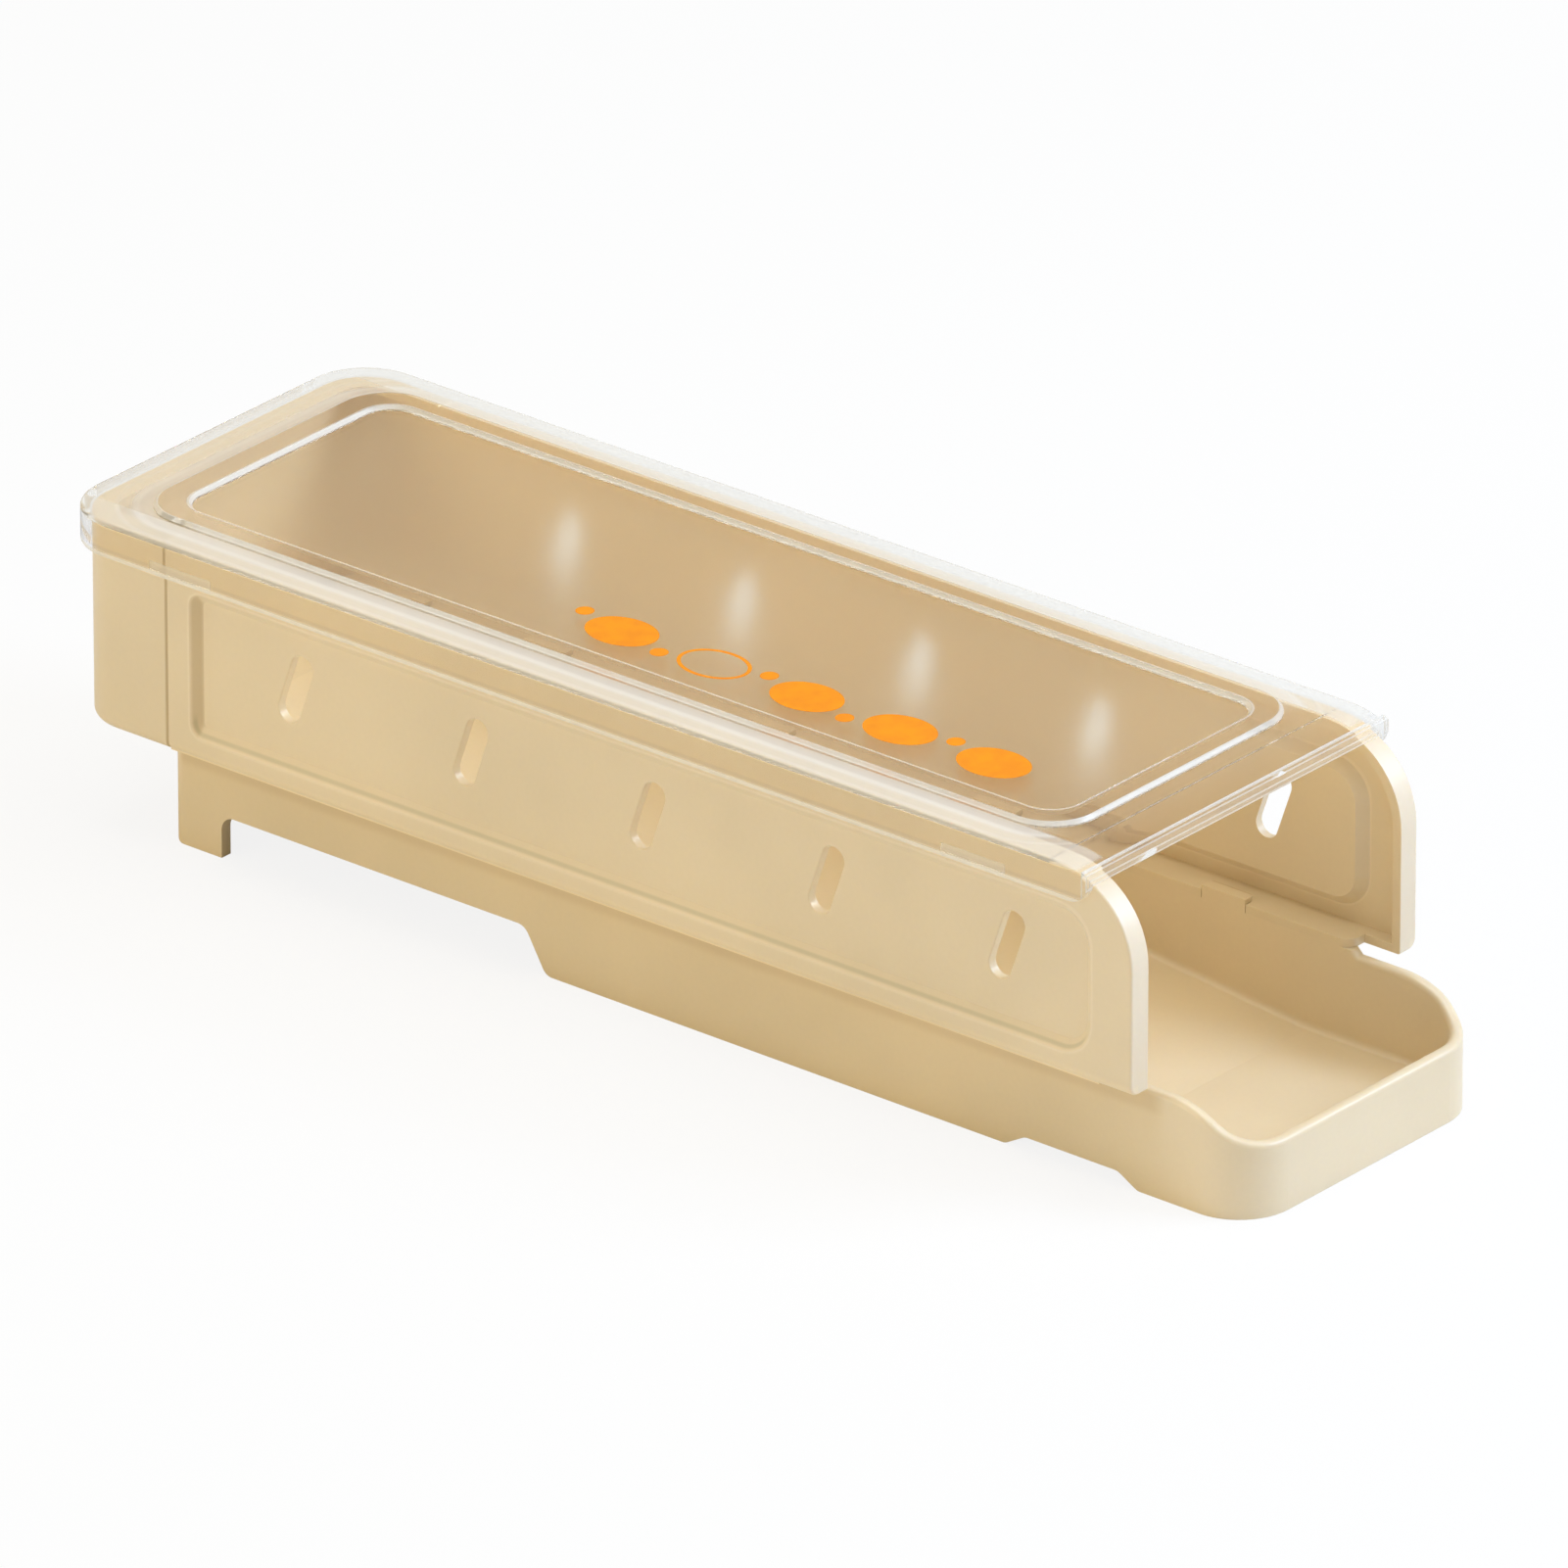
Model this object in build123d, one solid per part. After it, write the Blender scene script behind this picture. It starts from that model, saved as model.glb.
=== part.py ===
from build123d import *
import os
from math import radians, tan

# Rolling egg dispenser: a moulded tray with a sloping floor, two slotted side walls, a rear cap
# and a clear lift-off lid. Millimetres. X is across, Y runs from the open front to the back,
# Z is up. The origin is under the middle of the whole object, on the surface that it stands on.

# Widths across the body
body_width = 97.4
side_overhang = 7.65
base_wall = 3.0
sheet = 2.3
rim_width = 5.6

# Lengths from the front of the tray to the back of the lid
tray_reach = 26.1
wall_length = 271.3
cap_depth = 27.8

# Heights above the surface
base_height = 26.1
wall_height = 49.3
floor_sheet = 2.0

# Tray and ramp
tray_floor = 4.0
tray_corner = 13.5
base_rear_corner = 4.0
base_back_step = 6.0
ramp_angle = 5.5
ramp_sheet = 2.2
tray_fillet = 1.5

# Edge of the tray in front of the walls
front_lip_height = 17.3
side_lip_height = 25.0
lip_ogee_length = 25.0
lip_ogee_lead = 1.0
lip_ogee_skew = 0.3
lip_round = 1.25
seat_step_setback = 9.0
seat_step_run = 1.1

# Lower edge of the base: rear foot, long cut-out, front skid and shallow finger gap
foot_length = 14.7
cutout_height = 10.3
cutout_length = 87.0
cutout_ramp_run = 6.0
cutout_bend = 3.5
gap_front_setback = 30.4
gap_length = 36.5
gap_height = 3.1
gap_slope_run = 5.5
foot_round = 3.0

# Side walls
arch_radius = 20.0
lower_edge_round = 2.5
edge_round = 0.6
seam_chamfer = 0.4
flange_front_setback = 9.8
flange_front_round = 3.0

# Sunk panel in each side wall; its corner radii are those of its floor
panel_front_margin = 11.2
panel_rear_margin = 6.5
panel_bottom_margin = 5.4
panel_top_margin = 8.9
panel_depth = 2.1
panel_slope_run = 2.4
panel_rear_radius = 1.1
panel_lower_front_radius = 6.1
panel_upper_front_radius = 7.6

# View slots in each panel
slot_count = 5
slot_pitch = 50.0
first_slot_setback = 36.05
slot_rise = 24.5
slot_length = 17.5
slot_width = 6.0
slot_tilt = 19.0
slot_edge_round = 0.4

# Snap tabs that hold the walls and the cap down on the base
tab_count = 4
tab_pitch = 64.0
first_tab_setback = 44.8
tab_length = 12.0
cap_tab_length = 4.0
tab_thickness = 1.8
tab_head_reach = 1.5
tab_head_height = 1.1
tab_head_round = 1.3
tab_clearance = 0.2

# Rear cap
cap_corner = 12.0

# Lid
lid_clearance = 0.4
lid_skirt = 2.2
lid_plate = 2.0
lid_skirt_depth = 6.3
lid_front_setback = 10.3
lid_arch_clearance = 0.3
lid_relief_lead = 2.0
lid_edge_round = 0.9
skirt_front_round = 5.0
bead_length = 1.6
bead_height = 0.9
nub_length = 17.5
nub_height = 2.0
nub_proud = 0.25
nub_front_setback = 41.5
nub_rear_lead = 4.0

# Raised ridge frame on the lid
ridge_height = 1.2
ridge_side_margin = 9.3
ridge_front_margin = 15.1
ridge_rear_margin = 14.5
ridge_side_width = 7.1
ridge_front_width = 6.7
ridge_rear_width = 7.9
ridge_outer_radius = 12.0
ridge_inner_radius = 7.0
ridge_slope = 0.8

# Places worked out from the sizes above
overall_length = tray_reach + wall_length + cap_depth + lid_clearance + lid_skirt
half_body = body_width / 2
half_base = half_body - side_overhang
half_lid = half_body + lid_clearance + lid_skirt
tray_front = -overall_length / 2
wall_front = tray_front + tray_reach
seam = wall_front + wall_length
cap_back = seam + cap_depth
base_back = seam + base_back_step
lid_front = wall_front + lid_front_setback
lid_back = cap_back + lid_clearance + lid_skirt
wall_top = base_height + wall_height
wall_floor = base_height + floor_sheet
lid_top = wall_top + lid_plate
skirt_bottom = wall_top - lid_skirt_depth
arch_start = wall_front + arch_radius
flange_front = wall_front + flange_front_setback
seat_step_back = wall_front + seat_step_setback
seat_step_front = seat_step_back - seat_step_run
inner_base = half_base - base_wall
inner_body = half_body - sheet
slot_middle = base_height + slot_rise
ramp_foot = seam - (wall_floor - tray_floor) / tan(radians(ramp_angle))
tab_places = [wall_front + first_tab_setback + i * tab_pitch for i in range(tab_count)]
slot_places = [wall_front + first_slot_setback + i * slot_pitch for i in range(slot_count)]

# How far a cutting block runs past what it cuts, and how face normals are told apart
past = 1.0
upright = 0.01
facing_down = -0.5


def rounded_plan(half_width, front, back, front_radius, back_radius):
    """Rectangle seen from above, with its own corner radius at each end."""
    plan = Pos(0, (front + back) / 2) * Rectangle(2 * half_width, back - front)
    if front_radius > 0:
        plan = fillet(plan.vertices().sort_by(Axis.Y)[:2], front_radius)
    if back_radius > 0:
        plan = fillet(plan.vertices().sort_by(Axis.Y)[-2:], back_radius)
    return plan


def standing(plan, bottom, top):
    """Solid between two heights, from a shape seen from above."""
    return extrude(Pos(0, 0, bottom) * plan, top - bottom)


def across(side_view, left, right):
    """Solid between two X places, from a shape in the side view, where x is Y and y is Z."""
    return extrude(Plane.YZ.offset(left) * side_view, right - left)


def block(left, right, front, back, bottom, top):
    """Plain box between its six faces."""
    size = Box(right - left, back - front, top - bottom)
    return Pos((left + right) / 2, (front + back) / 2, (bottom + top) / 2) * size


def polygon(points):
    """Face through a closed run of corners."""
    return make_face(Polyline(*points, close=True))


def round_corners(face, places, radius):
    """Face with the corners at the given places rounded."""
    for place in places:
        corner = face.vertices().sort_by_distance(Vector(*place))[0]
        face = fillet(corner, radius)
    return face


def base_outline():
    """Side view of the base: tray edge at the front, feet and cut-outs along the bottom."""
    gap_front = tray_front + gap_front_setback
    gap_back = gap_front + gap_length
    foot_front = base_back - foot_length
    cutout_front = foot_front - cutout_length
    points = [
        (tray_front, 0),
        (gap_front, 0),
        (gap_front + gap_slope_run, gap_height),
        (gap_back - gap_slope_run, gap_height),
        (gap_back, 0),
        (cutout_front - cutout_ramp_run, 0),
        (cutout_front, cutout_height),
        (foot_front, cutout_height),
        (foot_front, 0),
        (base_back, 0),
        (base_back, base_height),
        (seat_step_back, base_height),
        (seat_step_front, side_lip_height),
        (tray_front, side_lip_height),
    ]
    outline = polygon(points)
    outline = round_corners(outline, [points[6], points[7]], cutout_bend)
    outline = round_corners(outline, [points[1], points[2], points[3], points[4]], gap_height)
    return round_corners(outline, [points[5], points[9]], foot_round)


def lip_dip():
    """Space above the tray's edge on the right: an ogee from the side's height down to the front's.

    It is drawn on the middle plane and runs out at a skew, so that it turns round the tray's corner.
    """
    low = (tray_front + lip_ogee_lead + lip_ogee_skew * (half_base - tray_corner), front_lip_height)
    high = (low[0] + lip_ogee_length, side_lip_height)
    middle = ((low[0] + high[0]) / 2, (low[1] + high[1]) / 2)
    far_front = low[0] - overall_length
    far_top = base_height + past
    edges = [
        Line((far_front, front_lip_height), low),
        TangentArc(low, middle, tangent=(1, 0)),
        TangentArc(high, middle, tangent=(-1, 0)),
        Line(high, (high[0], far_top)),
        Line((high[0], far_top), (far_front, far_top)),
        Line((far_front, far_top), (far_front, front_lip_height)),
    ]
    return extrude(Plane.YZ * make_face(edges), half_body, dir=(1, -lip_ogee_skew, 0))


def lip_edges(tray):
    """Inner and outer edges of the tray's lip, from one seat step round to the other."""
    edges = []
    for face in tray.faces():
        if abs(face.normal_at().Z) > upright:
            continue
        for edge in face.edges():
            box = edge.bounding_box()
            if box.min.Z > front_lip_height - lip_round and box.max.Y < seat_step_front + lip_round:
                edges.append(edge)
    return edges


def snap_tab(centre, length):
    """Tab on the right side wall of the base: a stem and a head that hooks over the flange."""
    stem = block(inner_base, inner_base + tab_thickness, centre - length / 2,
                 centre + length / 2, base_height - past, wall_floor + tab_head_height)
    head_right = inner_base + tab_thickness + tab_head_reach
    head = block(inner_base, head_right, centre - length / 2,
                 centre + length / 2, wall_floor, wall_floor + tab_head_height)
    ends = head.edges().filter_by(Axis.Z).group_by(Axis.X)[-1]
    return stem + fillet(ends, tab_head_round)


def channel_space():
    """Space above the floor between the base's walls, with rounded lower edges."""
    front = tray_front + base_wall
    channel_view = polygon([
        (front, tray_floor),
        (ramp_foot, tray_floor),
        (seam, wall_floor),
        (seam, wall_floor + past),
        (front, wall_floor + past),
    ])
    plan = rounded_plan(inner_base, front, seam, tray_corner - base_wall, 0)
    space = across(channel_view, -inner_base, inner_base) & standing(plan, 0, wall_floor + past)
    floor_faces = space.faces().filter_by(lambda face: face.normal_at().Z < facing_down)
    low_edges = [edge for face in floor_faces for edge in face.edges()]
    side_edges = [edge for edge in low_edges if abs(edge.center().X) > past]
    front_edge = ShapeList(low_edges).sort_by(Axis.Y)[0]
    return fillet(side_edges + [front_edge], tray_fillet)


def space_under_floor():
    """Open underside between the base's walls, below the floor sheet."""
    front = tray_front + base_wall
    back = base_back - base_wall
    under_view = polygon([
        (front, -past),
        (front, tray_floor - ramp_sheet),
        (ramp_foot, tray_floor - ramp_sheet),
        (seam, base_height - ramp_sheet),
        (back, base_height - ramp_sheet),
        (back, -past),
    ])
    plan = rounded_plan(inner_base, front, back, tray_corner - base_wall, base_rear_corner - base_wall)
    return across(under_view, -inner_base, inner_base) & standing(plan, -past, base_height)


def base_tray():
    """Tray, sloping floor and skirt in one moulding, open underneath."""
    outside = rounded_plan(half_base, tray_front, base_back, tray_corner, base_rear_corner)
    tray = standing(outside, 0, base_height) & across(base_outline(), -half_body, half_body)
    tray = tray - lip_dip() - mirror(lip_dip(), about=Plane.YZ)
    tray = tray - channel_space()
    tray = fillet(lip_edges(tray), lip_round)
    tray = tray - space_under_floor()
    floor_top_start = seam - floor_sheet / tan(radians(ramp_angle))
    floor_top = polygon([
        (floor_top_start, base_height),
        (seam, wall_floor),
        (seam, base_height - ramp_sheet / 2),
        (floor_top_start, base_height - ramp_sheet / 2),
    ])
    tray = tray + across(floor_top, -inner_base, inner_base)
    cap_tab_centre = seam + tab_clearance + cap_tab_length / 2
    tabs = [snap_tab(centre, tab_length) for centre in tab_places]
    tabs.append(snap_tab(cap_tab_centre, cap_tab_length))
    return tray + tabs + [mirror(tab, about=Plane.YZ) for tab in tabs]


def wall_view(grow, back, bottom):
    """Side view under the wall's rim: front edge, arch and top, moved outwards by grow."""
    front = wall_front - grow
    top = wall_top + grow
    view = Pos((front + back) / 2, (bottom + top) / 2) * Rectangle(back - front, top - bottom)
    return round_corners(view, [(front, top)], arch_radius + grow)


def panel_view(inset):
    """Side view of the sunk panel, moved inwards from its outer edge by inset."""
    front = wall_front + panel_front_margin + inset
    back = seam - panel_rear_margin - inset
    bottom = base_height + panel_bottom_margin + inset
    top = wall_top - panel_top_margin - inset
    view = Pos((front + back) / 2, (bottom + top) / 2) * Rectangle(back - front, top - bottom)
    swell = panel_slope_run - inset
    view = round_corners(view, [(back, bottom), (back, top)], panel_rear_radius + swell)
    view = round_corners(view, [(front, bottom)], panel_lower_front_radius + swell)
    return round_corners(view, [(front, top)], panel_upper_front_radius + swell)


def panel_block(face_place):
    """Block with sloped sides, from the given X inwards by the panel's depth."""
    wide = Plane.YZ.offset(face_place) * panel_view(0)
    narrow = Plane.YZ.offset(face_place - panel_depth) * panel_view(panel_slope_run)
    return loft([wide, narrow], ruled=True)


def tab_notches():
    """Notches in the inner edge of the right bottom flanges, where the snap tabs come through."""
    right = inner_base + tab_thickness + tab_clearance
    notches = []
    for centre in tab_places:
        reach = tab_length / 2 + tab_clearance
        notches.append(block(inner_base - past, right, centre - reach, centre + reach,
                             base_height - past, wall_floor + past))
    return notches


def right_wall():
    """Right side wall: slotted sheet with a rim turned inwards and a flange that sits on the base."""
    wall = across(wall_view(0, seam, base_height), half_body - rim_width, half_body)
    outer_edges = wall.edges().group_by(Axis.X)[-1]
    wall = fillet(outer_edges.group_by(Axis.Z)[0], lower_edge_round)
    rim_edges = wall.faces().sort_by(Axis.X)[-1].edges()
    keep_square = rim_edges.group_by(Axis.Y)[-1] + rim_edges.group_by(Axis.Z)[0]
    wall = fillet([edge for edge in rim_edges if edge not in keep_square], edge_round)
    hollow = wall_view(-sheet, seam + past, wall_floor)
    wall = wall - across(hollow, half_body - rim_width - past, inner_body)
    flange = block(inner_base, inner_body + sheet / 2, flange_front, seam, base_height, wall_floor)
    flange_corner = flange.vertices().sort_by_distance((inner_base, flange_front, wall_floor))[0]
    corner_edge = flange.edges().filter_by(Axis.Z).sort_by_distance(flange_corner)[0]
    wall = wall + fillet(corner_edge, flange_front_round)
    for notch in tab_notches():
        wall = wall - notch
    wall = wall + panel_block(inner_body)
    wall = wall - panel_block(half_body)
    for place in slot_places:
        slot = Pos(place, slot_middle) * Rot(0, 0, 90 + slot_tilt)
        opening = slot * SlotOverall(slot_length, slot_width)
        wall = wall - across(opening, half_body - rim_width - past, half_body + past)
    panel_middle = (half_body - panel_depth, 0, slot_middle)
    panel_face = wall.faces().filter_by(Axis.X).sort_by_distance(panel_middle)[0]
    wall = fillet(panel_face.inner_wires().edges(), slot_edge_round)
    seam_edge = wall.edges().filter_by(Axis.Z).group_by(Axis.Y)[-1].sort_by(Axis.X)[-1]
    return chamfer(seam_edge, seam_chamfer)


def rear_cap():
    """Rear end of the body: a rounded shell with its own floor and an inward rim."""
    outside = rounded_plan(half_body, seam, cap_back, 0, cap_corner)
    cap = standing(outside, base_height, wall_top)
    low_edges = cap.edges().group_by(Axis.Z)[0]
    front_edge = low_edges.group_by(Axis.Y)[0]
    cap = fillet([edge for edge in low_edges if edge not in front_edge], lower_edge_round)
    top_edges = cap.edges().group_by(Axis.Z)[-1]
    front_edge = top_edges.group_by(Axis.Y)[0]
    cap = fillet([edge for edge in top_edges if edge not in front_edge], edge_round)
    inside = rounded_plan(inner_body, seam - past, cap_back - sheet, 0, cap_corner - sheet)
    cap = cap - standing(inside, wall_floor, wall_top - sheet)
    mouth = rounded_plan(half_body - rim_width, seam - past, cap_back - rim_width,
                         0, cap_corner - rim_width)
    cap = cap - standing(mouth, wall_floor, wall_top + past)
    notch_right = inner_base + tab_thickness + tab_clearance
    notch_back = seam + tab_clearance + cap_tab_length + tab_clearance
    notch = block(inner_base - tab_clearance, notch_right, seam - past, notch_back,
                  base_height - past, wall_floor + past)
    cap = cap - notch - mirror(notch, about=Plane.YZ)
    front_edges = cap.edges().filter_by(Axis.Z).group_by(Axis.Y)[0].sort_by(Axis.X)
    return chamfer([front_edges[0], front_edges[-1]], seam_chamfer)


def under_rim(grow, front, back):
    """Space across the whole lid under a surface that follows the rim, from front to back."""
    space = across(wall_view(grow, lid_back, base_height), -half_lid, half_lid)
    return space & block(-half_lid, half_lid, front, back, base_height, wall_top + arch_radius)


def lid():
    """Clear lid: a plate that follows the arch at the front, with skirts on three sides."""
    outside = rounded_plan(half_lid, lid_front, lid_back, 0, cap_corner + lid_clearance + lid_skirt)
    inside = rounded_plan(half_body + lid_clearance, lid_front - past, cap_back + lid_clearance,
                          0, cap_corner + lid_clearance)
    shell = standing(outside, skirt_bottom, lid_top)
    shell = shell & under_rim(lid_plate, lid_front, lid_back)
    lower_front = shell.edges().filter_by(Axis.X).group_by(Axis.Z)[0].sort_by(Axis.Y)[0]
    shell = fillet(lower_front, skirt_front_round)
    top_edges = shell.edges().group_by(Axis.Z)[-1]
    shell = fillet([edge for edge in top_edges if edge.center().Y > arch_start + past], lid_edge_round)
    relief_back = arch_start + lid_relief_lead
    under = under_rim(0, arch_start, lid_back)
    under = under + under_rim(lid_arch_clearance, lid_front - past, relief_back)
    shell = shell - (under & standing(inside, skirt_bottom - past, lid_top))
    ridge_plan = rounded_plan(half_lid - ridge_side_margin, lid_front + ridge_front_margin,
                              lid_back - ridge_rear_margin, ridge_outer_radius, ridge_outer_radius)
    field_plan = rounded_plan(half_lid - ridge_side_margin - ridge_side_width,
                              lid_front + ridge_front_margin + ridge_front_width,
                              lid_back - ridge_rear_margin - ridge_rear_width,
                              ridge_inner_radius, ridge_inner_radius)
    ridge = standing(ridge_plan - field_plan, lid_top - lid_plate / 2, lid_top + ridge_height)
    ridge = chamfer(ridge.edges().group_by(Axis.Z)[-1], ridge_slope)
    bead_back = lid_front + bead_length
    bead = under_rim(lid_plate + bead_height, lid_front, bead_back)
    bead = bead - under_rim(lid_arch_clearance, lid_front, bead_back)
    return shell + ridge + bead + snap_nubs()


def snap_nubs():
    """Low ribs inside the lower edge of the skirts that grip the walls, two on each side."""
    inner_side = half_body + lid_clearance
    right = []
    for front in (lid_front + nub_front_setback - nub_length, seam + nub_rear_lead - nub_length):
        right.append(block(inner_side - nub_proud, inner_side + lid_skirt / 2, front,
                           front + nub_length, skirt_bottom, skirt_bottom + nub_height))
    return Part() + right + [mirror(nub, about=Plane.YZ) for nub in right]


parts = {
    "base_tray": base_tray(),
    "left_side_wall": mirror(right_wall(), about=Plane.YZ),
    "right_side_wall": right_wall(),
    "rear_cap": rear_cap(),
    "lid": lid(),
}

os.makedirs("parts", exist_ok=True)
for name, solid in parts.items():
    export_step(solid, f"parts/{name}.step")
    box = solid.bounding_box()
    print(name, len(solid.solids()), "solid", round(solid.volume), box.min, box.max)
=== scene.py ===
import bmesh
import bpy
from mathutils import Matrix, Vector


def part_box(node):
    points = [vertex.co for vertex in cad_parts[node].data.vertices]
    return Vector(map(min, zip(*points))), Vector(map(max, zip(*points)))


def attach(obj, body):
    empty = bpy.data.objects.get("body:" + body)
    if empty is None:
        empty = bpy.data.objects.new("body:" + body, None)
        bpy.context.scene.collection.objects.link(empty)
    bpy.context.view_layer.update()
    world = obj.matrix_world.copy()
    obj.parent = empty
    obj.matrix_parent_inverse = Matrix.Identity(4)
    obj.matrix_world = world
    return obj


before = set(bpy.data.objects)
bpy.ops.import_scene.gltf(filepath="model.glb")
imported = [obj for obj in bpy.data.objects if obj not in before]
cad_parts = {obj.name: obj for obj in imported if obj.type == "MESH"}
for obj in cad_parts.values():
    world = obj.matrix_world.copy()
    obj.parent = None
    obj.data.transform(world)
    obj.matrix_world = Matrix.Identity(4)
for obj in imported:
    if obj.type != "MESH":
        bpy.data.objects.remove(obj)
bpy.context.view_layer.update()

# Base tray: one moulding in cream polypropylene, with the catch tray at the front, the sloping
# floor and the feet. The mould is spark eroded, which leaves a fine satin grain all over. The floor
# is rubbed a little smoother down its middle. The sides carry painted shade under the walls, darkest
# in a painted contact shadow close under them.

mm = 0.001


def paint(red, green, blue):
    """Colour for a shader's socket, from red, green and blue of 0 to 255 as a screen shows them."""
    linear = []
    for level in (red, green, blue):
        share = level / 255
        linear.append(share / 12.92 if share < 0.04045 else ((share + 0.055) / 1.055) ** 2.4)
    return (*linear, 1.0)


def shade(colour, share):
    """The same colour made darker or lighter."""
    return tuple(share * channel for channel in colour[:3]) + (1.0,)


class Value:
    """What one output of a node gives. Sums and products of values add Math nodes."""

    def __init__(self, finish, socket):
        self.finish = finish
        self.socket = socket

    def maths(self, operation, first, second=0.0):
        return self.finish.node("Math", {"operation": operation}, {0: first, 1: second})

    def __add__(self, other):
        return self.maths("ADD", self, other)

    def __mul__(self, other):
        return self.maths("MULTIPLY", self, other)

    def __sub__(self, other):
        return self.maths("SUBTRACT", self, other)

    def __rsub__(self, other):
        return self.maths("SUBTRACT", other, self)

    def __abs__(self):
        return self.maths("ABSOLUTE", self)

    __radd__ = __add__
    __rmul__ = __mul__

    def at_least(self, other):
        return self.maths("MAXIMUM", self, other)

    def at_most(self, other):
        return self.maths("MINIMUM", self, other)

    def rise(self, low, high):
        """0 where the value is under low, 1 over high, and a smooth step between."""
        return self.finish.node("MapRange", {"interpolation_type": "SMOOTHSTEP"},
                                {"Value": self, "From Min": low, "From Max": high})


class Finish:
    """Nodes of one material or of the world, added one by one."""

    def __init__(self, owner):
        self.owner = owner
        owner.use_nodes = True
        self.tree = owner.node_tree
        self.tree.nodes.clear()

    def node(self, kind, settings=None, sockets=None, output=0):
        """Adds a node, sets its options, fills its sockets and gives one of its outputs."""
        made = self.tree.nodes.new("ShaderNode" + kind)
        for name, setting in (settings or {}).items():
            setattr(made, name, setting)
        for name, value in (sockets or {}).items():
            if isinstance(value, Value):
                self.tree.links.new(value.socket, made.inputs[name])
            else:
                made.inputs[name].default_value = value
        if not made.outputs:
            return None
        return Value(self, made.outputs[output])

    def place(self):
        """Where a point of the piece lies, in metres."""
        return self.node("TexCoord", output="Object")

    def places(self):
        """The same place as three values: across, along and up."""
        return [self.node("SeparateXYZ", sockets={0: self.place()}, output=axis) for axis in "XYZ"]

    def noise(self, size, detail, seed):
        """Noise around a half, with lumps of about the given size."""
        where = self.node("VectorMath", {"operation": "ADD"}, {0: self.place(), 1: (seed, seed, seed)})
        return self.node("TexNoise", sockets={"Vector": where, "Scale": 1 / size, "Detail": detail})

    def between(self, share, first, second):
        """Colour between two colours."""
        return self.node("Mix", {"data_type": "RGBA"}, {0: share, 6: first, 7: second}, output=2)

    def deepened(self, share, colour, tint):
        """Colour multiplied by a tint, as far as the share says."""
        settings = {"data_type": "RGBA", "blend_type": "MULTIPLY"}
        return self.node("Mix", settings, {0: share, 6: colour, 7: tint}, output=2)


cream = paint(233, 215, 181)
satin_roughness = 0.40
rubbed_smoother = 0.06


def moulded_cream(name, seed, painted_light_and_shade, worn=None):
    """Satin cream plastic. The third argument adds painted shade and highlights over the piece, and worn
    is where it is rubbed.
    """
    finish = Finish(bpy.data.materials.new(name))
    flow = finish.noise(60 * mm, 3.0, seed)
    speckle = finish.noise(1.2 * mm, 1.0, seed)
    grain = finish.noise(0.45 * mm, 2.0, seed)
    tone = flow.rise(0.3, 0.7) * 0.7 + speckle * 0.3
    colour = finish.between(tone, shade(cream, 0.94), shade(cream, 1.05))
    roughness = satin_roughness + (speckle - 0.5) * 0.05 + (flow - 0.5) * 0.08
    if worn:
        roughness = roughness - rubbed_smoother * worn(finish)
    bump = finish.node("Bump", None, {"Strength": 0.06, "Distance": 0.05 * mm, "Height": grain})
    surface = finish.node("BsdfPrincipled", None, {
        "Base Color": painted_light_and_shade(finish, colour),
        "Roughness": roughness,
        "IOR": 1.5,
        "Specular IOR Level": 0.8,
        "Subsurface Weight": 0.2,
        "Subsurface Radius": (1.0, 0.7, 0.3),
        "Subsurface Scale": 0.8 * mm,
        "Sheen Weight": 0.25,
        "Sheen Roughness": 0.3,
        "Normal": bump,
    })
    finish.node("OutputMaterial", None, {"Surface": surface})
    return finish.owner


base_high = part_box("base_tray")[1]
wall_low, wall_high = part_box("right_side_wall")
rubbed_track = (12 * mm, 26 * mm)
base_skin = (base_high.x - 0.6 * mm, base_high.x - 0.2 * mm)
behind_tray = (wall_low.y - 4.0 * mm, wall_low.y + 1.0 * mm)
# Painted shade: the base's sides under the walls are darkened, most in a contact shadow close under
# them.
side_shade_heights = (2.0 * mm, wall_low.z)
side_shade_tone = (0.94, 0.91, 0.82, 1.0)
contact_shadow_heights = (wall_low.z - 7.2 * mm, wall_low.z - 4.8 * mm)
contact_shadow_tone = (0.89, 0.85, 0.79, 1.0)


def rubbed_floor(finish):
    """1 on the track down the middle of the sloping floor."""
    across = finish.places()[0]
    return 1.0 - abs(across).rise(*rubbed_track)


def painted_shade_under_walls(finish, colour):
    """Painted shade on the sides below the walls, with a darker painted contact shadow close under the
    walls.
    """
    across, along, up = finish.places()
    below_wall = abs(across).rise(*base_skin) * along.rise(*behind_tray)
    with_side_shade = finish.deepened(below_wall * up.rise(*side_shade_heights), colour, side_shade_tone)
    return finish.deepened(below_wall * up.rise(*contact_shadow_heights), with_side_shade, contact_shadow_tone)


base_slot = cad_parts["base_tray"].material_slots[0]
base_slot.material = moulded_cream("base_cream", 1.0, painted_shade_under_walls, rubbed_floor)

# Side walls: two mirrored mouldings in the same cream polypropylene, each with a sunk panel and
# five slanted view slots, held down on the base by its snap tabs. Their outer side carries a painted
# shade line along the lower edge of the panel with a painted highlight under it, painted shade on the
# panel's rear slope, painted highlights round the panel's edge and along the foot, and a paler
# painted highlight on the rim round the arch.

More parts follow.
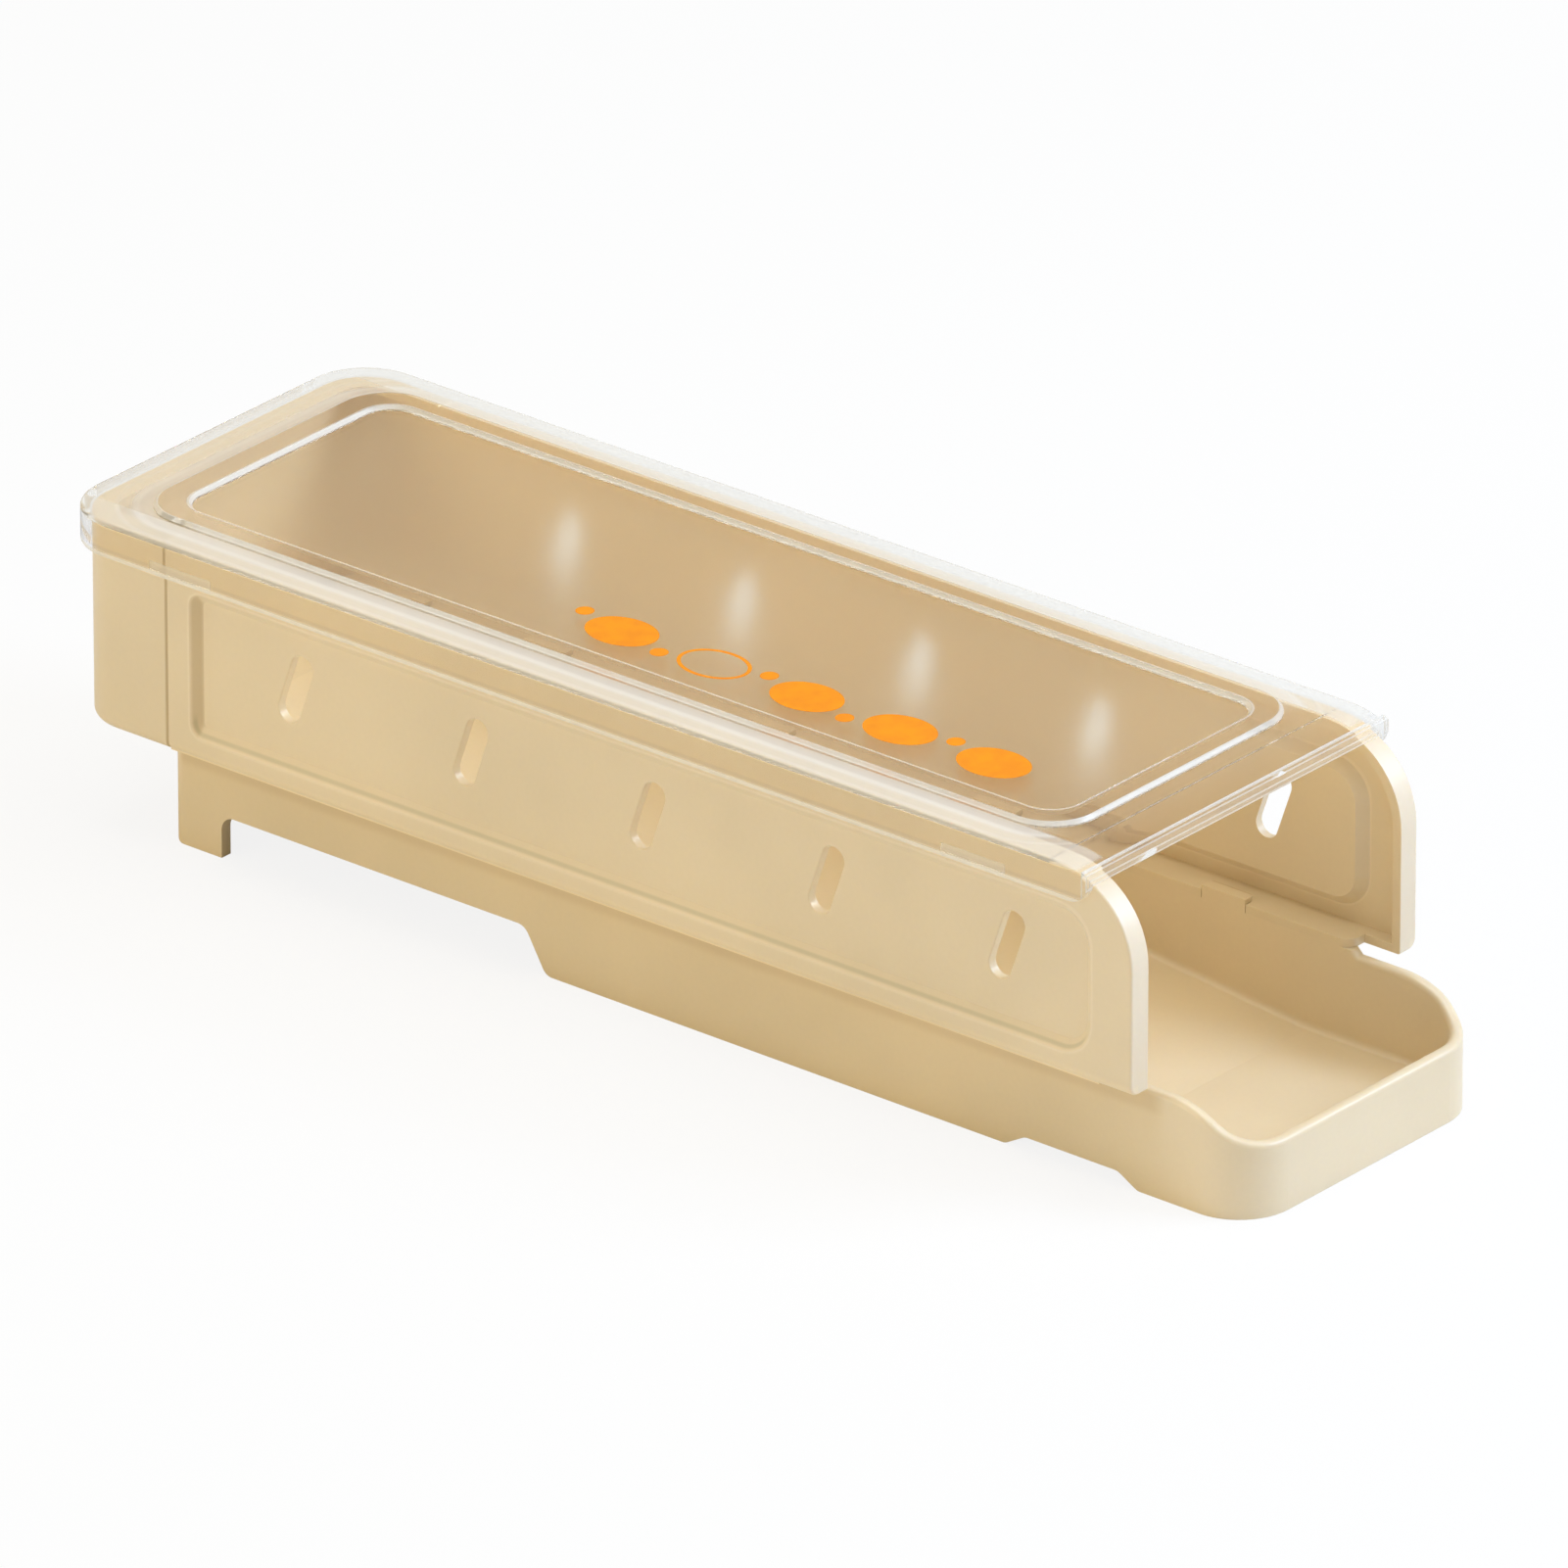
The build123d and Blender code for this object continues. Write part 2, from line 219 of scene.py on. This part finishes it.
panel_low = Vector((wall_low.y + 11.2 * mm, wall_low.z + 5.4 * mm))
panel_high = Vector((wall_high.y - 6.5 * mm, wall_high.z - 8.9 * mm))
panel_slope = 2.4 * mm
panel_front_corner = 8.5 * mm
panel_rear_corner = 3.5 * mm
slope_start = panel_high.x - panel_slope
arch_radius = 20.0 * mm
further = Vector((30.0 * mm, 0.0))
below = Vector((0.0, 60.0 * mm))
wall_skin = (wall_high.x - 2.5 * mm, wall_high.x - 2.3 * mm)
upper_part = (panel_low.y + 3.0 * mm, panel_low.y + 6.0 * mm)
above_foot = (wall_low.z + 1.0 * mm, wall_low.z + 3.0 * mm)
# Painted shade on the panel's rear slope and in a line along its lower edge; painted highlights round
# its edge, along the foot and on the arch rim.
slope_shade_tone = (0.86, 0.81, 0.70, 1.0)
crease_shade_tone = (0.82, 0.84, 0.80, 1.0)
edge_highlight_tone = (1.06, 1.07, 1.12, 1.0)
foot_highlight_tone = (1.06, 1.05, 1.02, 1.0)
rim_highlight_tone = (1.04, 1.06, 1.15, 1.0)


def past_outline(finish, first, second, low, high, corner):
    """How far a point is outside a rounded rectangle, from its two places; less than 0 inside."""
    middle = (low + high) / 2
    straight = (high - low) / 2 - Vector((corner, corner))
    past_side = abs(first - middle.x) - straight.x
    past_end = abs(second - middle.y) - straight.y
    out_side = past_side.at_least(0.0)
    out_end = past_end.at_least(0.0)
    reach = finish.node("Math", {"operation": "SQRT"}, {0: out_side * out_side + out_end * out_end})
    return reach + past_side.at_least(past_end).at_most(0.0) - corner


def band(value, low, high, soft=0.12 * mm):
    """1 between two values and 0 outside them, with soft ends."""
    return value.rise(low - soft, low + soft) * (1.0 - value.rise(high - soft, high + soft))


def panel_painted_light(finish, colour):
    """Painted shade and highlights on the outer side of the wall: the panel's edges, the foot and the
    rim round the arch.
    """
    across, along, up = finish.places()
    past_front = past_outline(finish, along, up, panel_low, panel_high + further, panel_front_corner)
    past_rear = past_outline(finish, along, up, panel_low - further, panel_high, panel_rear_corner)
    past_panel = past_front.at_least(past_rear)
    outer = abs(across).rise(*wall_skin)
    lower = outer * (1.0 - up.rise(*upper_part))
    crease_shade = band(past_panel, -1.3 * mm, -0.6 * mm, 0.25 * mm) * lower
    edge_highlight = band(past_panel, -0.4 * mm, 0.45 * mm, 0.25 * mm) * outer
    rear_end = along.rise(slope_start - 0.5 * mm, slope_start + 0.5 * mm)
    rear_slope_shade = band(past_rear, -panel_slope, -0.3 * mm, 0.4 * mm) * rear_end * outer
    foot_highlight = outer * (1.0 - up.rise(*above_foot))
    past_wall = past_outline(finish, along, up, Vector((wall_low.y, wall_low.z)) - below,
                             Vector((wall_high.y, wall_high.z)) + further, arch_radius)
    rim = past_wall.rise(-0.4 * mm, -0.1 * mm)
    for share, tone in ((rear_slope_shade, slope_shade_tone), (crease_shade, crease_shade_tone), (edge_highlight, edge_highlight_tone),
                        (foot_highlight, foot_highlight_tone), (rim, rim_highlight_tone)):
        colour = finish.deepened(share, colour, tone)
    return colour


for seed, wall in enumerate(("left_side_wall", "right_side_wall"), 2):
    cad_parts[wall].material_slots[0].material = moulded_cream(wall + "_cream", seed, panel_painted_light)

# Rear cap: the closed rear end of the body, moulded by itself in the same plastic and butted
# against the walls with a fine chamfered seam, which carries a dark line of painted shade and dust.

cap_skin = (wall_high.x - 1.2 * mm, wall_high.x - 0.8 * mm)
past_seam = (wall_high.y + 0.35 * mm, wall_high.y + 0.6 * mm)
# Painted shade and dust in the seam between cap and walls.
seam_shade_and_dust_tone = (0.80, 0.77, 0.68, 1.0)


def seam_shade_and_dust(finish, colour):
    """A dark line of painted shade and dust at the cap's front edge, on its outer side, in the seam."""
    across, along = finish.places()[:2]
    at_seam = abs(across).rise(*cap_skin) * (1.0 - along.rise(*past_seam))
    return finish.deepened(at_seam, colour, seam_shade_and_dust_tone)


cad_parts["rear_cap"].material_slots[0].material = moulded_cream("cap_cream", 4.0, seam_shade_and_dust)

# Lid: one clear moulding that lifts off. The rim and the raised ridge are polished, and the field
# inside the ridge is lightly frosted in the mould, on both of its faces. The edges of the ridge,
# the rounded rim, the front bead, the foot of the skirts and the snap ribs carry painted highlights,
# an opaque white sheet mixed into the clear plastic. The skirts carry painted shade, and lamp light
# through the lid is warmed to stand in for warmer shade under it.

lid_low, lid_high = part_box("lid")
ridge_height = 1.2 * mm
ridge_slope = 0.8 * mm
top_face = lid_high.z - ridge_height
under_top = (top_face - 1.2 * mm, top_face - 0.7 * mm)
open_front = -20.0 * mm
wall_plan = {"side": 2.4 * mm, "front": open_front, "rear": 2.4 * mm, "corner": 12.4 * mm}
skin_plan = {"side": 0.5 * mm, "front": open_front, "rear": 0.5 * mm, "corner": 14.1 * mm}
ridge_plan = {"side": 9.3 * mm, "front": 15.1 * mm, "rear": 14.5 * mm, "corner": 12.0 * mm}
field_plan = {"side": 16.4 * mm, "front": 21.8 * mm, "rear": 22.4 * mm, "corner": 7.0 * mm}
clear_tone = (0.97, 0.95, 0.91, 1.0)
field_tone = (1.0, 0.965, 0.86, 1.0)
# Painted shade: the skirts are deeper in tone, most in a band just over their foot.
skirt_shade_tone = (0.94, 0.94, 0.94, 1.0)
over_foot_shade_tone = (0.80, 0.80, 0.82, 1.0)
# Painted highlights: the tone of the opaque white sheet mixed into the lid.
highlight_white_tone = (0.86, 0.845, 0.80, 1.0)
# Lamp light through the lid is warmed, which stands in for warmer shade under it.
warm_shade_lamp_tint = (1.0, 0.965, 0.90, 1.0)
polished_roughness = 0.02
frosted_roughness = 0.29


def outside_of(finish, plan):
    """How far a point is outside a rounded plan on the lid, seen from above; less than 0 inside."""
    across, along = finish.places()[:2]
    low = Vector((lid_low.x + plan["side"], lid_low.y + plan["front"]))
    high = Vector((lid_high.x - plan["side"], lid_high.y - plan["rear"]))
    return past_outline(finish, across, along, low, high, plan["corner"])


def on_skin(finish):
    """1 on the outer face of the skirts."""
    return outside_of(finish, skin_plan).rise(-0.1 * mm, 0.1 * mm)


def ridge_highlights(finish, up):
    """Painted highlight lines of the raised ridge: its outer edge, its inner edge and its inner slope.
    """
    past_field = outside_of(finish, field_plan)
    outer_edge = band(outside_of(finish, ridge_plan), -ridge_slope - 0.25 * mm, 0.0) * 0.5
    inner_edge = band(past_field, ridge_slope - 0.1 * mm, ridge_slope + 0.5 * mm) * 0.4
    inner_slope = band(past_field, 0.0, ridge_slope) * 0.65
    on_ridge = up.rise(top_face - 0.1 * mm, top_face + 0.3 * mm)
    return outer_edge.at_least(inner_edge).at_least(inner_slope) * on_ridge


def border_highlights(finish, across, along, up):
    """Painted highlight on the satin border between the ridge and the rim, whiter over the walls and in
    long streaks.
    """
    past_ridge = outside_of(finish, ridge_plan)
    middle_streak = band(past_ridge, 3.0 * mm, 5.2 * mm, 0.5 * mm)
    rim_streak = band(past_ridge, 7.3 * mm, 8.4 * mm, 0.4 * mm)
    close_to_ridge = 1.0 - past_ridge.rise(4.0 * mm, 5.0 * mm)
    streaks = 0.8 + (middle_streak + rim_streak) * 0.2 + close_to_ridge * 0.4
    over_walls = abs(across).rise(lid_high.x - 9.8 * mm, lid_high.x - 8.8 * mm) * 0.48
    behind_front = along.rise(lid_low.y + 15.0 * mm, lid_low.y + 25.0 * mm) * 0.28
    outside_ridge = past_ridge.rise(-0.4 * mm, 0.0) * up.rise(*under_top)
    return outside_ridge * streaks * over_walls.at_least(behind_front)


def bead_highlights(along):
    """The bead under the front edge, with a painted highlight line at each of its edges and a faint
    painted white over it.
    """
    from_front = along - lid_low.y
    front_line = band(from_front, 0.05 * mm, 0.4 * mm)
    rear_line = band(from_front, 1.25 * mm, 1.7 * mm)
    bead = (1.0 - from_front.rise(1.4 * mm, 1.7 * mm)) * 0.1
    return (front_line.at_least(rear_line) * 0.55).at_least(bead)


def snap_ribs(across, along, up):
    """1 on the low ribs inside the foot of the skirts, which grip the walls."""
    front_rib = band(along - lid_low.y, 24.0 * mm, 41.5 * mm)
    rear_rib = band(along - lid_low.y, 247.5 * mm, 265.0 * mm)
    low_down = 1.0 - up.rise(lid_low.z + 1.9 * mm, lid_low.z + 2.1 * mm)
    inner = 1.0 - abs(across).rise(lid_high.x - 2.2 * mm, lid_high.x - 2.0 * mm)
    return front_rib.at_least(rear_rib) * low_down * inner


def painted_highlights(finish):
    """How far the opaque white sheet of painted highlights covers the moulding, all over the lid."""
    across, along, up = finish.places()
    edges = ridge_highlights(finish, up).at_least(border_highlights(finish, across, along, up))
    foot_highlight = (1.0 - up.rise(lid_low.z + 0.8 * mm, lid_low.z + 1.1 * mm)) * on_skin(finish) * 0.6
    ribs = snap_ribs(across, along, up) * 0.4
    return edges.at_least(bead_highlights(along)).at_least(foot_highlight).at_least(ribs)


def tint_and_skirt_shade(finish, field):
    """Tone that the plastic gives to what shows through it, warm in the field; the skirts carry painted
    shade, darkest in a band just over their foot.
    """
    up = finish.places()[2]
    in_skirt = outside_of(finish, wall_plan).rise(-0.3 * mm, 0.0)
    side_on = in_skirt * (1.0 - up.rise(*under_top))
    over_foot_shade = band(up - lid_low.z, 1.2 * mm, 2.2 * mm, 0.25 * mm) * on_skin(finish)
    plate = finish.between(field, clear_tone, field_tone)
    shaded_skirt = finish.between(over_foot_shade, skirt_shade_tone, over_foot_shade_tone)
    return finish.between(side_on, plate, shaded_skirt)


def clear_lid():
    """Clear plastic with a frosted field, which lets lamps through to what is under it, warmed to stand
    in for warmer shade there, and with an opaque white sheet mixed in for painted highlights.
    """
    finish = Finish(bpy.data.materials.new("lid_clear"))
    field = 1.0 - outside_of(finish, field_plan).rise(-0.4 * mm, 0.0)
    mottle = finish.noise(0.7 * mm, 2.0, 7.0)
    haze = finish.noise(25 * mm, 2.0, 8.0)
    bump = finish.node("Bump", None, {"Strength": 0.05, "Distance": 0.05 * mm, "Height": mottle * field})
    plastic = finish.node("BsdfPrincipled", None, {
        "Base Color": tint_and_skirt_shade(finish, field),
        "Roughness": field * (frosted_roughness + haze * 0.04) + polished_roughness,
        "IOR": 1.16,
        "Transmission Weight": 0.985,
        "Normal": bump,
    })
    highlight_sheet = finish.node("BsdfPrincipled", None, {
        "Base Color": highlight_white_tone,
        "Roughness": 0.2,
        "IOR": 1.45,
    })
    # Painted highlights: an opaque white sheet mixed into the clear plastic where the masks say.
    body = finish.node("MixShader", None, {0: painted_highlights(finish), 1: plastic, 2: highlight_sheet})
    for_lamps = finish.node("LightPath", output="Is Shadow Ray").at_least(
        finish.node("LightPath", output="Is Diffuse Ray"))
    # Lamps pass the lid with a warm tint, which stands in for warmer shade on what is under it.
    passing = finish.node("BsdfTransparent", None, {"Color": warm_shade_lamp_tint})
    surface = finish.node("MixShader", None, {0: for_lamps, 1: body, 2: passing})
    finish.node("OutputMaterial", None, {"Surface": surface})
    return finish.owner


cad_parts["lid"].material_slots[0].material = clear_lid()

# Print on the lid: plain ovals with small dots between them, screen printed in orange ink on the
# near side of the frosted field. One oval is only outlined.

ink_bottom = top_face - 0.01 * mm
ink_top = top_face + 0.05 * mm
ink_edge = 0.02 * mm
oval_count = 5
outlined_oval = 3
oval_width = 13.5 * mm
oval_length = 18.0 * mm
oval_line = 0.9 * mm
oval_segments = 72
dot_size = 4.2 * mm
dot_stagger = 3.0 * mm
print_line = -22.0 * mm
print_pitch = 26.0 * mm
print_front = -78.0 * mm


def printed_oval(shapes, middle, width, length, outline=0.0):
    """A film of ink with a soft edge. With an outline's width, the oval is open in its middle."""
    ring = bmesh.ops.create_circle(shapes, cap_ends=True, segments=oval_segments, radius=0.5)["verts"]
    face = ring[0].link_faces[0]
    spread = Matrix.Diagonal((width, length, 1.0)).to_4x4()
    place = Matrix.Translation((*middle, ink_bottom))
    bmesh.ops.transform(shapes, matrix=place @ spread, verts=ring)
    film = [face]
    if outline:
        film = bmesh.ops.inset_region(shapes, faces=[face], thickness=outline,
                                      use_boundary=True, use_even_offset=True)["faces"]
        bmesh.ops.delete(shapes, geom=[face], context="FACES")
    raised = bmesh.ops.extrude_face_region(shapes, geom=film, use_keep_orig=True)["geom"]
    top = [part for part in raised if isinstance(part, bmesh.types.BMVert)]
    bmesh.ops.translate(shapes, vec=(0.0, 0.0, ink_top - ink_bottom), verts=top)
    rim = [part for part in raised if isinstance(part, bmesh.types.BMEdge) and
           any(abs(side.normal.z) < 0.5 for side in part.link_faces)]
    bmesh.ops.recalc_face_normals(shapes, faces=shapes.faces)
    bmesh.ops.bevel(shapes, geom=rim, offset=ink_edge, affect="EDGES", segments=2, profile=0.5,
                    material=-1)


def orange_ink():
    """Opaque screen ink, a little uneven in tone and gloss."""
    finish = Finish(bpy.data.materials.new("orange_ink"))
    cloud = finish.noise(4 * mm, 2.0, 9.0)
    grain = finish.noise(0.3 * mm, 2.0, 10.0)
    bump = finish.node("Bump", None, {"Strength": 0.08, "Distance": 0.03 * mm, "Height": grain})
    surface = finish.node("BsdfPrincipled", None, {
        "Base Color": finish.between(cloud.rise(0.3, 0.7), paint(246, 146, 4), paint(252, 156, 10)),
        "Roughness": 0.5 + (cloud - 0.5) * 0.12,
        "IOR": 1.5,
        "Specular IOR Level": 0.15,
        "Normal": bump,
    })
    finish.node("OutputMaterial", None, {"Surface": surface})
    return finish.owner


def print_piece(name, ovals, ink):
    """Makes one printed piece of several ovals, each given by its middle, width, length and outline."""
    shapes = bmesh.new()
    for oval in ovals:
        printed_oval(shapes, *oval)
    mesh = bpy.data.meshes.new(name)
    shapes.to_mesh(mesh)
    shapes.free()
    mesh.materials.append(ink)
    piece = bpy.data.objects.new(name, mesh)
    bpy.context.scene.collection.objects.link(piece)
    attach(piece, "lid")


print_ink = orange_ink()
ovals = []
dots = []
for place in range(oval_count):
    along = print_front + print_pitch * place
    line = oval_line if place == outlined_oval else 0.0
    ovals.append(((print_line, along), oval_width, oval_length, line))
    dot_middle = (print_line + dot_stagger * (-1) ** place, along + print_pitch / 2)
    dots.append((dot_middle, dot_size, dot_size))
print_piece("printed_ovals", ovals, print_ink)
print_piece("printed_dots", dots, print_ink)

# Floor and backdrop: a plain pale sweep, which the camera sees almost white, under soft studio
# light. The room's light is warm where it falls on the object, and white where it shows.

floor_reach = 12.0
floor_grey = (0.9, 0.9, 0.9, 1.0)
floor_glow = 0.86
ambient = 0.35
ambient_warmth = (1.0, 0.88, 0.66, 1.0)
white = (1.0, 1.0, 1.0, 1.0)

floor_mesh = bpy.data.meshes.new("floor")
sweep = bmesh.new()
bmesh.ops.create_grid(sweep, x_segments=1, y_segments=1, size=floor_reach)
sweep.to_mesh(floor_mesh)
sweep.free()
floor = bpy.data.objects.new("floor", floor_mesh)
bpy.context.scene.collection.objects.link(floor)
paper = Finish(bpy.data.materials.new("floor_paper"))
lit = paper.node("BsdfDiffuse", None, {"Color": floor_grey})
bright = paper.node("Emission", None, {"Color": white, "Strength": 1.0})
seen = paper.node("LightPath", output="Is Camera Ray") * floor_glow
sheet = paper.node("MixShader", None, {0: seen, 1: lit, 2: bright})
paper.node("OutputMaterial", None, {"Surface": sheet})
floor_mesh.materials.append(paper.owner)

world = bpy.data.worlds.new("studio")
bpy.context.scene.world = world
room = Finish(world)
shown = room.node("LightPath", output="Is Camera Ray").at_least(
    room.node("LightPath", output="Is Glossy Ray")).at_least(
    room.node("LightPath", output="Is Transmission Ray"))
backdrop = room.node("Background", None, {
    "Color": room.between(shown, ambient_warmth, white),
    "Strength": ambient + (1.0 - ambient) * shown,
})
room.node("OutputWorld", None, {"Surface": backdrop})


def soft_lamp(name, place, size, power, colour):
    """Square soft light that looks at the middle of the object."""
    lamp = bpy.data.lights.new(name, "AREA")
    lamp.size = size
    lamp.energy = power
    lamp.color = colour
    holder = bpy.data.objects.new(name, lamp)
    holder.location = place
    holder.rotation_euler = (-Vector(place)).to_track_quat("-Z", "Y").to_euler()
    holder.visible_camera = False
    bpy.context.scene.collection.objects.link(holder)


soft_lamp("front", (0.95, -1.3, 1.15), 0.9, 29.5, (0.575, 0.725, 1.0))
soft_lamp("overhead", (0.05, -0.1, 1.9), 1.4, 16.5, (0.93, 0.96, 0.95))
soft_lamp("side", (-1.6, 0.8, 0.5), 1.2, 10.6, (1.0, 0.85, 0.56))

# Camera: a long lens at the photograph's viewing angle.

camera_back = Vector((-0.6948, -0.5780, 0.4280))
camera_up = Vector((0.3290, 0.2737, 0.9038))
camera_right = Vector((0.6395, -0.7688, 0.0))
camera_distance = 5.7227
camera_raise = 8.53 * mm
camera_shift = 0.37 * mm
object_middle = Vector((0.0, -1.75, 31.86)) * mm
aim = object_middle + camera_up * camera_raise - camera_right * camera_shift
camera_data = bpy.data.cameras.new("camera")
camera_data.lens = 605.8
camera_data.sensor_width = 36.0
camera_data.clip_end = 30.0
camera = bpy.data.objects.new("camera", camera_data)
camera.location = aim + camera_back * camera_distance
camera.rotation_mode = "QUATERNION"
camera.rotation_quaternion = (-camera_back).to_track_quat("-Z", "Y")
bpy.context.scene.collection.objects.link(camera)
bpy.context.scene.camera = camera
bpy.context.scene.view_settings.view_transform = "Standard"
